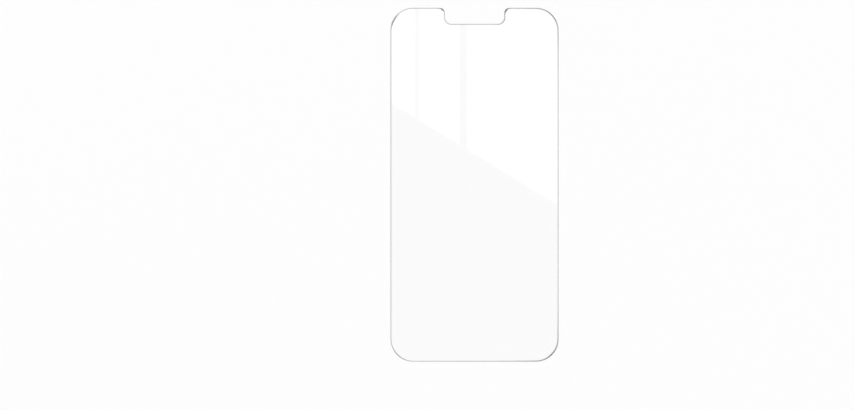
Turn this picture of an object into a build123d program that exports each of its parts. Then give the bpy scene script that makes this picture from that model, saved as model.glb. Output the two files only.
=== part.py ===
from build123d import *
import os

# Screen protector: one flat sheet of clear tempered glass with rounded corners and a notch let into
# its top edge, ground to a rounded rim on the touch side. It lies on its adhesive face. The origin
# is the middle of that face, +Y points to the notched end and +Z out of the touch face. All sizes
# are in millimetres.

# Sheet
LENGTH = 141.0  # along Y
WIDTH = 67.0  # along X
THICKNESS = 0.33  # along Z
CORNER_RADIUS = 9.0  # the four outer corners

# Notch in the middle of the top edge
NOTCH_WIDTH = 23.6  # between its straight sides
NOTCH_DEPTH = 6.4  # from the top edge to the notch floor
NOTCH_MOUTH_RADIUS = 2.1  # convex corners where the notch opens into the top edge
NOTCH_FLOOR_RADIUS = 2.6  # concave corners at the notch floor

# Ground rim, the same all round the outline
RIM_ARC_WIDTH = 0.40  # how far the rounding reaches in over the touch face
RIM_LAND = 0.06  # upright band left below the rounding
BACK_CHAMFER = 0.05  # broken edge on the adhesive face

# Places worked out from the sizes above
TOP_EDGE = LENGTH / 2
NOTCH_SIDE = NOTCH_WIDTH / 2
NOTCH_FLOOR = TOP_EDGE - NOTCH_DEPTH
RIM_ARC_DROP = THICKNESS - RIM_LAND - BACK_CHAMFER
CUTTER_REACH = RIM_ARC_WIDTH  # how far the rim cutter stands proud of the sheet, outside and above


def notch_corners(outline, height):
    """The left and right corners of the notch at one height along Y."""
    places = [Vector(side * NOTCH_SIDE, height) for side in (-1, 1)]
    return [outline.vertices().sort_by_distance(place)[0] for place in places]


def sheet_outline():
    """The flat shape of the glass: a round-cornered rectangle with the notch let into its top edge."""
    outline = Rectangle(WIDTH, LENGTH)
    outline = fillet(outline.vertices(), CORNER_RADIUS)
    outline -= Pos(0, TOP_EDGE - NOTCH_DEPTH / 2) * Rectangle(NOTCH_WIDTH, NOTCH_DEPTH)
    outline = fillet(notch_corners(outline, TOP_EDGE), NOTCH_MOUTH_RADIUS)
    return fillet(notch_corners(outline, NOTCH_FLOOR), NOTCH_FLOOR_RADIUS)


def rim_cutter(outline):
    """What grinding takes off the touch side: a ring swept once round the outline.

    Its section is hollowed to the rim's arc, which leaves the touch face tangent to it and comes
    down on the upright land.
    """
    path = Pos(0, 0, THICKNESS) * outline.face().outer_wire()
    outward = (path % 0).cross(Vector(0, 0, 1))
    with BuildSketch(Plane(origin=path @ 0, x_dir=outward, z_dir=-(path % 0))) as section:
        with BuildLine():
            arc = TangentArc((-RIM_ARC_WIDTH, 0), (0, -RIM_ARC_DROP), tangent=(1, 0))
            Polyline(
                arc @ 1,
                (CUTTER_REACH, -RIM_ARC_DROP),
                (CUTTER_REACH, CUTTER_REACH),
                (-RIM_ARC_WIDTH, CUTTER_REACH),
                arc @ 0,
            )
        make_face()
    return sweep(section.sketch, path=path)


def protector_glass():
    """The finished sheet: the outline at full thickness, its back edge broken and its rim ground."""
    outline = sheet_outline()
    sheet = extrude(outline, THICKNESS)
    sheet = chamfer(sheet.faces().sort_by(Axis.Z)[0].edges(), BACK_CHAMFER)
    return sheet - rim_cutter(outline)


os.makedirs("parts", exist_ok=True)
export_step(protector_glass(), "parts/protector_glass.step")
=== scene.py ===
import math
from collections import namedtuple

import bpy
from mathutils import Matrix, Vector


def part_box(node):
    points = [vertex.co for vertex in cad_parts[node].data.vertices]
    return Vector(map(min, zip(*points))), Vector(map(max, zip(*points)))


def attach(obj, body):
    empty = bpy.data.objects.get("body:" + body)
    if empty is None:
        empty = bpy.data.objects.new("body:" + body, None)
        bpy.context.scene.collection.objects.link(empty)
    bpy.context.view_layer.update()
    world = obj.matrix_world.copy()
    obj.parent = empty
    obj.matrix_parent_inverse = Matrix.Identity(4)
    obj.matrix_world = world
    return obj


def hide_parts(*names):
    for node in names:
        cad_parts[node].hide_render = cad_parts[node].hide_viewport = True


# A screen protector of clear tempered glass, lying flat and seen from straight above. The sheet is
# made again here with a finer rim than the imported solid, in the same place and form.

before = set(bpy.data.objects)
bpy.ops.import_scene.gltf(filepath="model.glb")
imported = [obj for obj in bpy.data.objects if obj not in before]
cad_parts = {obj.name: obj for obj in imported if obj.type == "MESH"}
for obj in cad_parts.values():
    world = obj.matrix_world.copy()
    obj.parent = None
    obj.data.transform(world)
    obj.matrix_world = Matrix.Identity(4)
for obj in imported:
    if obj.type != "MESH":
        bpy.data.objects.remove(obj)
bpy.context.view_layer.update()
GLASS_NODE = "protector_glass"
SHEET_LOW, SHEET_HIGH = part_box(GLASS_NODE)

MM = 0.001

# Outline
RIGHT_EDGE = SHEET_HIGH.x
TOP_EDGE = SHEET_HIGH.y
BOTTOM_EDGE = SHEET_LOW.y
CORNER_RADIUS = 9.0 * MM
CORNER_TURN = 90  # degrees, at the notch too
NOTCH_WIDTH = 23.6 * MM
NOTCH_DEPTH = 6.4 * MM
NOTCH_MOUTH_RADIUS = 2.1 * MM
NOTCH_FLOOR_RADIUS = 2.6 * MM

# Rim section, from the back face up
BACK_FACE = SHEET_LOW.z
BACK_CHAMFER = 0.05 * MM
RIM_LAND = 0.06 * MM
RIM_ARC_WIDTH = 0.40 * MM
TOUCH_FACE = SHEET_HIGH.z
CHAMFER_TOP = BACK_FACE + BACK_CHAMFER
LAND_TOP = CHAMFER_TOP + RIM_LAND
RIM_ARC_DROP = TOUCH_FACE - LAND_TOP

# How far the normals of the rim's two flat bands lean out from straight up
CHAMFER_SLOPE = math.radians(135)
LAND_SLOPE = math.radians(90)

# Fineness of the mesh
LARGE_CORNER_STEPS = 28
SMALL_CORNER_STEPS = 24
STRAIGHT_STEP = 1.5 * MM
RIM_ARC_STEPS = 10

# At each corner the rim's arc is wider, and its tone is darkened by painted shade. Weight is how much,
# reach is how far along the rim that tells, peak is the turn of the bend, in degrees, where it is most,
# and fall is how it dies away from there: 1 is at once, 2 is from a round top, and 3 is from a
# flat one.
WideningAndShade = namedtuple("WideningAndShade", "weight reach peak fall")
LOWER_RIGHT_WIDENING_AND_SHADE = WideningAndShade(weight=0.74, reach=10.0 * MM, peak=46, fall=1.0)
UPPER_RIGHT_WIDENING_AND_SHADE = WideningAndShade(weight=0.53, reach=11.0 * MM, peak=37, fall=1.15)
RIGHT_MOUTH_WIDENING_AND_SHADE = WideningAndShade(weight=1.05, reach=1.4 * MM, peak=53, fall=2.0)
RIGHT_FLOOR_WIDENING_AND_SHADE = WideningAndShade(weight=0.34, reach=1.8 * MM, peak=34, fall=2.0)
LEFT_FLOOR_WIDENING_AND_SHADE = WideningAndShade(weight=0.03, reach=3.0 * MM, peak=45, fall=2.0)
LEFT_MOUTH_WIDENING_AND_SHADE = WideningAndShade(weight=0.84, reach=1.1 * MM, peak=54, fall=2.0)
UPPER_LEFT_WIDENING_AND_SHADE = WideningAndShade(weight=0.77, reach=3.1 * MM, peak=60, fall=3.0)
LOWER_LEFT_WIDENING_AND_SHADE = WideningAndShade(weight=0.30, reach=4.0 * MM, peak=46, fall=2.0)
RIM_SPREAD = 0.9  # how much wider a weight of 1 makes the arc
# Per-point weight that widens the rim's arc and darkens its tone at the corners as painted shade
WIDENING_AND_SHADE_ATTRIBUTE = "corner_widening_and_painted_shade"

# The rim's own map: the run along the rim, and across it one step for each band
RIM_MAP = "rim_run"
RIM_MAP_STEP = 0.05 * MM

# The map for baking the sheet's finish. Its lower half has the two faces side by side, and its upper
# half has the rim in rows, far larger than its share of the sheet, so that the grey stays sharp.
BAKE_MAP = "OFBake"
BAKE_FACE_LENGTH = 0.47
BAKE_FACE_MIDDLES = ((0.25, 0.25), (0.75, 0.25))
BAKE_RIM_START = 0.5
BAKE_RIM_ROWS = 12
BAKE_ROW_FILL = 0.8

# Fine grain: how broken up its noise is, and the span of the noise that fills the grain's range
GRAIN_BREAKUP = 0.6
GRAIN_SPAN = (0.3, 0.7)

# Polished glass
GLASS_IOR = 1.5
POLISHED_TINT = (0.99, 0.996, 0.993, 1)
POLISHED_SHADE = 0.96
HAZE_SCALE = 60.0
HAZE_DETAIL = 3.0
HAZE_ROUGHNESS = (0.0, 0.02)

# Ground rim. The grey rises and falls between these heights on the rim's map.
RIM_CLEAR_TINT = (0.76, 0.84, 0.80, 1)
RIM_STRAIGHT_TONE = 0.48
# The near-black tone that the painted shade at the rim's corners reaches
RIM_PAINTED_CORNER_SHADE = 0.04
RIM_GREY_RISE = (0.09 * MM, 0.16 * MM)
RIM_GREY_FALL = (0.50 * MM, 0.66 * MM)
RIM_CLEARNESS = 0.5
RIM_SHADE = 0.8
GRIND_SCALE = 1400.0
GRIND_DETAIL = 4.0
GRIND_STRETCH = (1.0, 14.0, 1.0)
GRIND_ROUGHNESS = (0.15, 0.33)
GRIND_STREAK = (-0.16, 0.16)
GRIND_BUMP = 0.35
GRIND_DEPTH = 0.02 * MM

# Floor
FLOOR_SIDE = 8.0
FLOOR_GAP = 0.03 * MM
FLOOR_TONE = 0.95
FLOOR_GLOW = 0.8
PAPER_SCALE = 900.0
PAPER_DETAIL = 2.0
PAPER_ROUGHNESS = (0.85, 0.95)

# Photograph's frame and the camera that gives it
FRAME_WIDTH_PX = 854
FRAME_HEIGHT_PX = 410
PIXELS_PER_METRE = 2510.5
SHEET_MIDDLE_PX = (474.55, 184.75)
LENS_MM = 135
SENSOR_MM = 36
CAMERA_HEIGHT = FRAME_WIDTH_PX / PIXELS_PER_METRE * LENS_MM / SENSOR_MM

# Glare cards, by the places in that frame where the sheet mirrors them
CARD_HEIGHT = 1.7
CARD_LIGHT = 1.6
CARD_SPANS_PX = ((380, 415), (419, 459.5), (467, 760))
CARD_TOP_PX = -20
GLARE_EDGE_PX = (391, 103)
GLARE_EDGE_SLOPE = 0.61

# Lamps
Softbox = namedtuple("Softbox", "name place width height watts")
SOFTBOXES = (
    Softbox("key_softbox", place=(-0.7, 0.7, 0.9), width=0.6, height=0.6, watts=6.3),
    Softbox("fill_softbox", place=(0.9, 0.1, 0.6), width=0.5, height=0.7, watts=2.8),
    Softbox("front_softbox", place=(0.0, -1.0, 0.6), width=0.8, height=0.5, watts=2.8),
)

# Studio round the stage. Heights go from 0, level, to 1, straight up. The panels are where two waves
# round the walls add up to a crest, and each wave has its count and how much it slants with height.
STUDIO_TONES = ((0.0, 0.90), (0.25, 0.85), (0.5, 0.65), (0.95, 0.55), (0.98, 0.85))
WALL_TOP = (0.93, 0.98)
WALL_TONE = 0.6
PANEL_TONE = 1.3
PANEL_WAVES = ((60, 30.0), (97, 52.0))
PANEL_EDGE = (0.55, 0.70)


class Station:
    """One place on the outline: its point, the way out of the glass, the rim's run, and the weight of the
    rim's widening and painted shade there.
    """

    def __init__(self, point, along):
        self.point = point
        self.outward = Vector((along.y, -along.x))
        self.run = 0.0
        self.widening_and_shade = 0.0


Bend = namedtuple("Bend", "radius steps")


class Corner:
    """One right-angled corner of the outline: its sharp point, its bend, and the rim's widening and painted
    shade there.
    """

    def __init__(self, x, y, bend, widening_and_shade):
        self.point = Vector((x, y))
        self.bend = bend
        self.widening_and_shade = widening_and_shade

    def join(self, before, after):
        """Takes the way in and the way out from the corners on either side."""
        self.way_in = (self.point - before.point).normalized()
        self.way_out = (after.point - self.point).normalized()
        self.start = self.point - self.way_in * self.bend.radius
        self.end = self.point + self.way_out * self.bend.radius
        self.centre = self.start + self.way_out * self.bend.radius

    def arc_stations(self):
        """Stations along the arc, both ends included."""
        for step in range(self.bend.steps + 1):
            turn = math.radians(CORNER_TURN) * step / self.bend.steps
            spoke = self.way_in * math.sin(turn) - self.way_out * math.cos(turn)
            along = self.way_in * math.cos(turn) + self.way_out * math.sin(turn)
            yield Station(self.centre + spoke * self.bend.radius, along)

    def straight_stations(self, after):
        """Stations along the straight from this arc to the next one, without its ends."""
        straight = after.start - self.end
        steps = math.ceil(straight.length / STRAIGHT_STEP)
        for step in range(1, steps):
            yield Station(self.end + straight * step / steps, self.way_out)

    def peak_step(self):
        """The step of the arc where the rim's widening and painted shade are most."""
        return round(self.bend.steps * self.widening_and_shade.peak / CORNER_TURN)

    def widening_and_shade_at(self, gap):
        """How much the rim widens and is darkened by painted shade at a place, by its gap along the rim from
        the peak.
        """
        return self.widening_and_shade.weight * math.exp(-((gap / self.widening_and_shade.reach) ** self.widening_and_shade.fall))


def outline_corners():
    """The sheet's corners, counter-clockwise from the lower right."""
    outer = Bend(CORNER_RADIUS, LARGE_CORNER_STEPS)
    mouth = Bend(NOTCH_MOUTH_RADIUS, SMALL_CORNER_STEPS)
    floor = Bend(NOTCH_FLOOR_RADIUS, SMALL_CORNER_STEPS)
    notch_side = NOTCH_WIDTH / 2
    notch_floor = TOP_EDGE - NOTCH_DEPTH
    corners = [
        Corner(RIGHT_EDGE, BOTTOM_EDGE, outer, LOWER_RIGHT_WIDENING_AND_SHADE),
        Corner(RIGHT_EDGE, TOP_EDGE, outer, UPPER_RIGHT_WIDENING_AND_SHADE),
        Corner(notch_side, TOP_EDGE, mouth, RIGHT_MOUTH_WIDENING_AND_SHADE),
        Corner(notch_side, notch_floor, floor, RIGHT_FLOOR_WIDENING_AND_SHADE),
        Corner(-notch_side, notch_floor, floor, LEFT_FLOOR_WIDENING_AND_SHADE),
        Corner(-notch_side, TOP_EDGE, mouth, LEFT_MOUTH_WIDENING_AND_SHADE),
        Corner(-RIGHT_EDGE, TOP_EDGE, outer, UPPER_LEFT_WIDENING_AND_SHADE),
        Corner(-RIGHT_EDGE, BOTTOM_EDGE, outer, LOWER_LEFT_WIDENING_AND_SHADE),
    ]
    for index, corner in enumerate(corners):
        corner.join(corners[index - 1], corners[(index + 1) % len(corners)])
    return corners


def outline_stations():
    """The outline as stations, with the rim's run and the weight of its widening and painted shade at each,
    and the rim's length.
    """
    corners = outline_corners()
    stations = []
    peaks = []
    for corner, after in zip(corners, corners[1:] + corners[:1]):
        peaks.append(len(stations) + corner.peak_step())
        stations += corner.arc_stations()
        stations += corner.straight_stations(after)
    for before, here in zip(stations, stations[1:]):
        here.run = before.run + (here.point - before.point).length
    rim_length = stations[-1].run + (stations[0].point - stations[-1].point).length
    for here in stations:
        for corner, peak in zip(corners, peaks):
            gap = abs(here.run - stations[peak].run)
            here.widening_and_shade += corner.widening_and_shade_at(min(gap, rim_length - gap))
    return stations, rim_length


BandEdge = namedtuple("BandEdge", "inset height slope")


def rim_bands(widening_and_shade):
    """The rim's section as bands from the back face up, each with its lower (0) and upper (1) edge.

    Slope is the angle that the band's normal leans out from straight up. The ground arc comes up from
    the land and meets the touch face tangent to it, further in where the corners widen it.
    """
    width = RIM_ARC_WIDTH * (1 + RIM_SPREAD * widening_and_shade)
    radius = (width**2 + RIM_ARC_DROP**2) / (2 * RIM_ARC_DROP)
    steepest = math.asin(width / radius)

    def on_arc(step):
        slope = steepest * (1 - step / RIM_ARC_STEPS)
        inset = width - radius * math.sin(slope)
        return BandEdge(inset, TOUCH_FACE - radius * (1 - math.cos(slope)), slope)

    chamfer = (BandEdge(BACK_CHAMFER, BACK_FACE, CHAMFER_SLOPE), BandEdge(0.0, CHAMFER_TOP, CHAMFER_SLOPE))
    land = (BandEdge(0.0, CHAMFER_TOP, LAND_SLOPE), BandEdge(0.0, LAND_TOP, LAND_SLOPE))
    return [chamfer, land] + [(on_arc(step), on_arc(step + 1)) for step in range(RIM_ARC_STEPS)]


def bake_place_on_face(point, face):
    """Where a point of the back face (0) or the touch face (1) lies on the bake's map."""
    scale = BAKE_FACE_LENGTH / (TOP_EDGE - BOTTOM_EDGE)
    middle = BAKE_FACE_MIDDLES[face]
    return middle[0] + point[0] * scale, middle[1] + point[1] * scale


def bake_place_on_rim(run, row, row_length, share):
    """Where a point of the rim lies on the bake's map, by its run and its share of the way up."""
    row_height = (1 - BAKE_RIM_START) / BAKE_RIM_ROWS
    along = (run - row * row_length) / (row_length + STRAIGHT_STEP)
    return along, BAKE_RIM_START + (row + 0.5 + (share - 0.5) * BAKE_ROW_FILL) * row_height


# The sheet's materials, by their order on the mesh
POLISHED_FACES, GROUND_FACES = range(2)


class FaceList:
    """Faces in the order they are added, each with its finish and with what its corners carry."""

    def __init__(self):
        self.points = []
        self.finishes = []
        self.normals = []
        self.rim_places = []
        self.bake_places = []

    def add(self, finish, corners):
        """Adds a face. Each corner is a point's number, a normal, and its places on the two maps."""
        points, normals, rim_places, bake_places = zip(*corners)
        self.points.append(points)
        self.finishes.append(finish)
        self.normals += normals
        self.rim_places += rim_places
        self.bake_places += bake_places


def sheet_points(stations, sections):
    """The mesh's points in rings, from the back face's edge up the rim to the touch face's edge."""
    rings = [(0, 0)] + [(level, 1) for level in range(len(sections[0]))]
    points = []
    for level, side in rings:
        for here, bands in zip(stations, sections):
            edge = bands[level][side]
            points.append((*(here.point - here.outward * edge.inset), edge.height))
    return points


def add_polished_faces(faces, points, ring_size):
    """The back face and the touch face, each inside its ring of points."""
    numbers = range(len(points))
    rings = (numbers[:ring_size][::-1], numbers[-ring_size:])
    for face, (ring, upward) in enumerate(zip(rings, (-1, 1))):
        normal = (0, 0, upward)
        corners = [(i, normal, points[i][:2], bake_place_on_face(points[i], face)) for i in ring]
        faces.add(POLISHED_FACES, corners)


def add_rim_faces(faces, stations, sections, rim_length):
    """The rim's bands, with one face from each station to the next."""
    count = len(stations)
    levels = len(sections[0])
    row_length = rim_length / BAKE_RIM_ROWS

    def corner(k, level, side, run, row):
        slope = sections[k][level][side].slope
        out = stations[k].outward * math.sin(slope)
        normal = (out.x, out.y, math.cos(slope))
        ring = level + side
        rim_place = (run, ring * RIM_MAP_STEP)
        bake_place = bake_place_on_rim(run, row, row_length, ring / levels)
        return ring * count + k, normal, rim_place, bake_place

    for level in range(levels):
        for i, here in enumerate(stations):
            j = (i + 1) % count
            end_run = stations[j].run if j else rim_length
            row = int(here.run / row_length)
            ends = ((i, 0, here.run), (j, 0, end_run), (j, 1, end_run), (i, 1, here.run))
            faces.add(GROUND_FACES, [corner(k, level, side, run, row) for k, side, run in ends])


def put_in_scene(name, data):
    """A new object in the scene."""
    made = bpy.data.objects.new(name, data)
    bpy.context.scene.collection.objects.link(made)
    return made


def glass_sheet():
    """The whole sheet as one closed mesh: two polished faces and the rim's bands between them."""
    stations, rim_length = outline_stations()
    sections = [rim_bands(here.widening_and_shade) for here in stations]
    points = sheet_points(stations, sections)
    faces = FaceList()
    add_polished_faces(faces, points, len(stations))
    add_rim_faces(faces, stations, sections, rim_length)

    mesh = bpy.data.meshes.new("glass_sheet")
    mesh.from_pydata(points, [], faces.points)
    mesh.polygons.foreach_set("material_index", faces.finishes)
    mesh.polygons.foreach_set("use_smooth", [True] * len(faces.points))
    for name, places in ((RIM_MAP, faces.rim_places), (BAKE_MAP, faces.bake_places)):
        layer = mesh.uv_layers.new(name=name)
        for loop, place in zip(layer.data, places):
            loop.uv = place
    widenings_and_shades = [here.widening_and_shade for here in stations]
    rings = len(points) // len(stations)
    mesh.attributes.new(WIDENING_AND_SHADE_ATTRIBUTE, "FLOAT", "POINT").data.foreach_set("value", widenings_and_shades * rings)
    mesh.normals_split_custom_set(faces.normals)
    mesh.validate()
    return put_in_scene("glass_sheet", mesh)


def grey(tone):
    """An opaque neutral colour."""
    return (tone, tone, tone, 1)


class Tree:
    """Short ways to add and join nodes in one node tree."""

    def __init__(self, tree):
        self.tree = tree

    def node(self, kind, values=None, **settings):
        """Adds a node, sets its properties and fills its inputs with values or links."""
        made = self.tree.nodes.new(kind)
        for name, value in settings.items():
            setattr(made, name, value)
        for name, value in (values or {}).items():
            if isinstance(value, bpy.types.NodeSocket):
                self.tree.links.new(value, made.inputs[name])
            else:
                made.inputs[name].default_value = value
        return made

    def math(self, operation, first, second=0.0):
        """One Math node's result."""
        return self.node("ShaderNodeMath", {0: first, 1: second}, operation=operation).outputs[0]

    def fade(self, value, span):
        """Goes from 0 to 1 as a value goes through a span."""
        ends = {"Value": value, "From Min": span[0], "From Max": span[1]}
        return self.node("ShaderNodeMapRange", ends).outputs[0]

    def blend(self, factor, first, second, way="MIX"):
        """One colour blended into another. A colour Mix takes sockets 0, 6 and 7, and 2 comes out."""
        sockets = {0: factor, 6: first, 7: second}
        return self.node("ShaderNodeMix", sockets, data_type="RGBA", blend_type=way).outputs[2]

    def ramp(self, value, tones):
        """Greys along a value, from the place and the tone of each step."""
        made = self.node("ShaderNodeValToRGB", {"Fac": value})
        steps = made.color_ramp.elements
        steps.remove(steps[1])
        steps[0].position = tones[0][0]
        steps[0].color = grey(tones[0][1])
        for place, tone in tones[1:]:
            steps.new(place).color = grey(tone)
        return made.outputs["Color"]

    def surface(self, shader):
        """Puts a shader out as the material's surface."""
        self.node("ShaderNodeOutputMaterial", {"Surface": shader})


def grain_group():
    """Fine grain: a value that wanders between two ends over the surface, and its height for bump."""
    group = bpy.data.node_groups.new("fine_grain", "ShaderNodeTree")
    socket = group.interface.new_socket
    socket("Vector", in_out="INPUT", socket_type="NodeSocketVector")
    for name in ("Scale", "Detail", "Low", "High"):
        socket(name, in_out="INPUT", socket_type="NodeSocketFloat")
    for name in ("Value", "Height"):
        socket(name, in_out="OUTPUT", socket_type="NodeSocketFloat")
    tree = Tree(group)
    ins = tree.node("NodeGroupInput").outputs
    noise = tree.node(
        "ShaderNodeTexNoise",
        {"Vector": ins["Vector"], "Scale": ins["Scale"], "Detail": ins["Detail"], "Roughness": GRAIN_BREAKUP},
    )
    height = noise.outputs["Fac"]
    spread = tree.node(
        "ShaderNodeMapRange",
        {
            "Value": height,
            "From Min": GRAIN_SPAN[0],
            "From Max": GRAIN_SPAN[1],
            "To Min": ins["Low"],
            "To Max": ins["High"],
        },
    )
    tree.node("NodeGroupOutput", {"Value": spread.outputs["Result"], "Height": height})
    return group


FINE_GRAIN = grain_group()


def grain(tree, place, scale, detail, ends):
    """The fine grain group placed in a material, with that material's own values."""
    values = {"Vector": place, "Scale": scale, "Detail": detail, "Low": ends[0], "High": ends[1]}
    return tree.node("ShaderNodeGroup", values, node_tree=FINE_GRAIN).outputs


def new_material(name):
    """An empty node material."""
    material = bpy.data.materials.new(name)
    material.use_nodes = True
    material.node_tree.nodes.clear()
    return material, Tree(material.node_tree)


def lit_through(tree, glass, shade):
    """The glass, with lamp light and light from the floor let straight through it, dimmed by its shade."""
    path = tree.node("ShaderNodeLightPath").outputs
    passed = tree.node("ShaderNodeBsdfTransparent", {"Color": grey(shade)}).outputs[0]
    for ray in ("Is Diffuse Ray", "Is Shadow Ray"):
        glass = tree.node("ShaderNodeMixShader", {0: path[ray], 1: glass, 2: passed}).outputs[0]
    return glass


def polished_glass():
    """The two faces: clear, flat and polished, with the faintest haze of the touch coating."""
    material, tree = new_material("polished_glass")
    place = tree.node("ShaderNodeTexCoord").outputs["Object"]
    haze = grain(tree, place, HAZE_SCALE, HAZE_DETAIL, HAZE_ROUGHNESS)["Value"]
    glass = tree.node(
        "ShaderNodeBsdfPrincipled",
        {
            "Base Color": POLISHED_TINT,
            "Roughness": haze,
            "IOR": GLASS_IOR,
            "Transmission Weight": 1.0,
        },
    )
    tree.surface(lit_through(tree, glass.outputs[0], POLISHED_SHADE))
    return material


def ground_rim():
    """The rim: clear at the land, and ground grey on the arc, with painted shade darkening it at the corners.

    The grey fades out into the polished touch face.
    """
    material, tree = new_material("ground_rim")
    place = tree.node("ShaderNodeUVMap", uv_map=RIM_MAP).outputs["UV"]
    along = tree.node("ShaderNodeMapping", {"Vector": place, "Scale": GRIND_STRETCH}).outputs[0]
    grind = grain(tree, along, GRIND_SCALE, GRIND_DETAIL, GRIND_ROUGHNESS)
    bump = tree.node(
        "ShaderNodeBump",
        {"Strength": GRIND_BUMP, "Distance": GRIND_DEPTH, "Height": grind["Height"]},
    )

    height = tree.node("ShaderNodeSeparateXYZ", {0: place}).outputs["Y"]
    ground = tree.math("SUBTRACT", tree.fade(height, RIM_GREY_RISE), tree.fade(height, RIM_GREY_FALL))
    widening_and_shade = tree.node("ShaderNodeAttribute", attribute_name=WIDENING_AND_SHADE_ATTRIBUTE).outputs["Fac"]
    streak = grain(tree, along, GRIND_SCALE, GRIND_DETAIL, GRIND_STREAK)["Value"]
    widening_and_shade = tree.math("ADD", widening_and_shade, streak)
    # Painted shade: the rim's grey is darkened toward the corner tone by the stored corner weight, broken up
    # by grind streaks
    tone = tree.blend(widening_and_shade, grey(RIM_STRAIGHT_TONE), grey(RIM_PAINTED_CORNER_SHADE))
    glass = tree.node(
        "ShaderNodeBsdfPrincipled",
        {
            "Base Color": tree.blend(ground, RIM_CLEAR_TINT, tone),
            "Roughness": grind["Value"],
            "IOR": GLASS_IOR,
            "Transmission Weight": RIM_CLEARNESS,
            "Normal": bump.outputs[0],
        },
    )
    tree.surface(lit_through(tree, glass.outputs[0], RIM_SHADE))
    return material


def white_floor():
    """Matt white floor: seen direct, mirrored or through glass it is lifted near white, shadow kept."""
    material, tree = new_material("white_floor")
    place = tree.node("ShaderNodeTexCoord").outputs["Object"]
    paper = grain(tree, place, PAPER_SCALE, PAPER_DETAIL, PAPER_ROUGHNESS)["Value"]
    matt = tree.node("ShaderNodeBsdfPrincipled", {"Base Color": grey(FLOOR_TONE), "Roughness": paper})
    glow = tree.node("ShaderNodeEmission", {"Strength": 1.0})
    path = tree.node("ShaderNodeLightPath").outputs
    seen = tree.math("MAXIMUM", path["Is Camera Ray"], path["Is Glossy Ray"])
    seen = tree.math("MAXIMUM", seen, path["Is Transmission Ray"])
    lift = tree.math("MULTIPLY", seen, FLOOR_GLOW)
    shown = tree.node("ShaderNodeMixShader", {0: lift, 1: matt.outputs[0], 2: glow.outputs[0]})
    tree.surface(shown.outputs[0])
    return material


def card_light():
    """Even white light for a glare card."""
    material, tree = new_material("card_light")
    tree.surface(tree.node("ShaderNodeEmission", {"Strength": CARD_LIGHT}).outputs[0])
    return material


def add_stage_card(name, corners, material):
    """One flat four-cornered piece of the stage."""
    mesh = bpy.data.meshes.new(name)
    mesh.from_pydata(corners, [], [(0, 1, 2, 3)])
    mesh.materials.append(material)
    put_in_scene(name, mesh)


def add_floor():
    """The surface that the sheet lies on, a hair below it so that the two don't share a plane."""
    half = FLOOR_SIDE / 2
    height = BACK_FACE - FLOOR_GAP
    corners = [(-half, -half, height), (half, -half, height), (half, half, height), (-half, half, height)]
    add_stage_card("floor", corners, white_floor())


def from_frame_middle(x_px, y_px):
    """How far a place in the photograph's frame lies from the frame's middle, in metres on the sheet."""
    return Vector((x_px - FRAME_WIDTH_PX / 2, FRAME_HEIGHT_PX / 2 - y_px)) / PIXELS_PER_METRE


CAMERA_FOOT = -from_frame_middle(*SHEET_MIDDLE_PX)


def add_camera():
    """A long lens straight above, framed as the photograph is."""
    data = bpy.data.cameras.new("camera")
    data.lens = LENS_MM
    data.sensor_width = SENSOR_MM
    camera = put_in_scene("camera", data)
    camera.location = (*CAMERA_FOOT, TOUCH_FACE + CAMERA_HEIGHT)
    bpy.context.scene.camera = camera


def on_card(x_px, y_px):
    """The place on the card plane that the sheet mirrors to a place in the photograph's frame."""
    spread = 1 + CARD_HEIGHT / CAMERA_HEIGHT
    return (*(CAMERA_FOOT + from_frame_middle(x_px, y_px) * spread), TOUCH_FACE + CARD_HEIGHT)


def glare_edge(x_px):
    """How far down the frame the glare's slanted edge lies, at a place across it."""
    return GLARE_EDGE_PX[1] + (x_px - GLARE_EDGE_PX[0]) * GLARE_EDGE_SLOPE


def add_glare_cards():
    """Three white cards above the camera, cut on the slant, that the touch face mirrors as glare."""
    light = card_light()
    for number, (left, right) in enumerate(CARD_SPANS_PX):
        corners = [
            on_card(left, CARD_TOP_PX),
            on_card(right, CARD_TOP_PX),
            on_card(right, glare_edge(right)),
            on_card(left, glare_edge(left)),
        ]
        add_stage_card(f"glare_card_{number}", corners, light)


def add_softbox(box):
    """One area lamp aimed at the sheet."""
    data = bpy.data.lights.new(box.name, "AREA")
    data.shape = "RECTANGLE"
    data.size = box.width
    data.size_y = box.height
    data.energy = box.watts
    lamp = put_in_scene(box.name, data)
    lamp.location = box.place
    lamp.rotation_mode = "QUATERNION"
    lamp.rotation_quaternion = (-Vector(box.place)).to_track_quat("-Z", "Y")


def add_world():
    """A round studio: dim walls with slanted light panels of uneven width, and a soft ceiling."""
    world = bpy.data.worlds.new("studio")
    world.use_nodes = True
    world.node_tree.nodes.clear()
    tree = Tree(world.node_tree)
    way = tree.node("ShaderNodeTexCoord").outputs["Generated"]
    east, north, height = tree.node("ShaderNodeSeparateXYZ", {0: way}).outputs

    bearing = tree.math("ARCTAN2", north, east)
    waves = []
    for count, slant in PANEL_WAVES:
        turn = tree.math("MULTIPLY", bearing, count)
        lean = tree.math("MULTIPLY", height, slant)
        waves.append(tree.math("SINE", tree.math("ADD", turn, lean)))
    panel = tree.fade(tree.math("ADD", *waves), PANEL_EDGE)
    walls = tree.blend(panel, grey(WALL_TONE), grey(PANEL_TONE))
    room = tree.blend(tree.fade(height, WALL_TOP), walls, grey(1.0))
    lit = tree.blend(1.0, tree.ramp(height, STUDIO_TONES), room, way="MULTIPLY")
    light = tree.node("ShaderNodeBackground", {"Color": lit})
    tree.node("ShaderNodeOutputWorld", {"Surface": light.outputs[0]})
    bpy.context.scene.world = world


sheet = glass_sheet()
sheet.data.materials.append(polished_glass())
sheet.data.materials.append(ground_rim())
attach(sheet, "root")
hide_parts(GLASS_NODE)

add_floor()
add_glare_cards()
for box in SOFTBOXES:
    add_softbox(box)
add_world()
add_camera()
bpy.context.scene.view_settings.view_transform = "Standard"
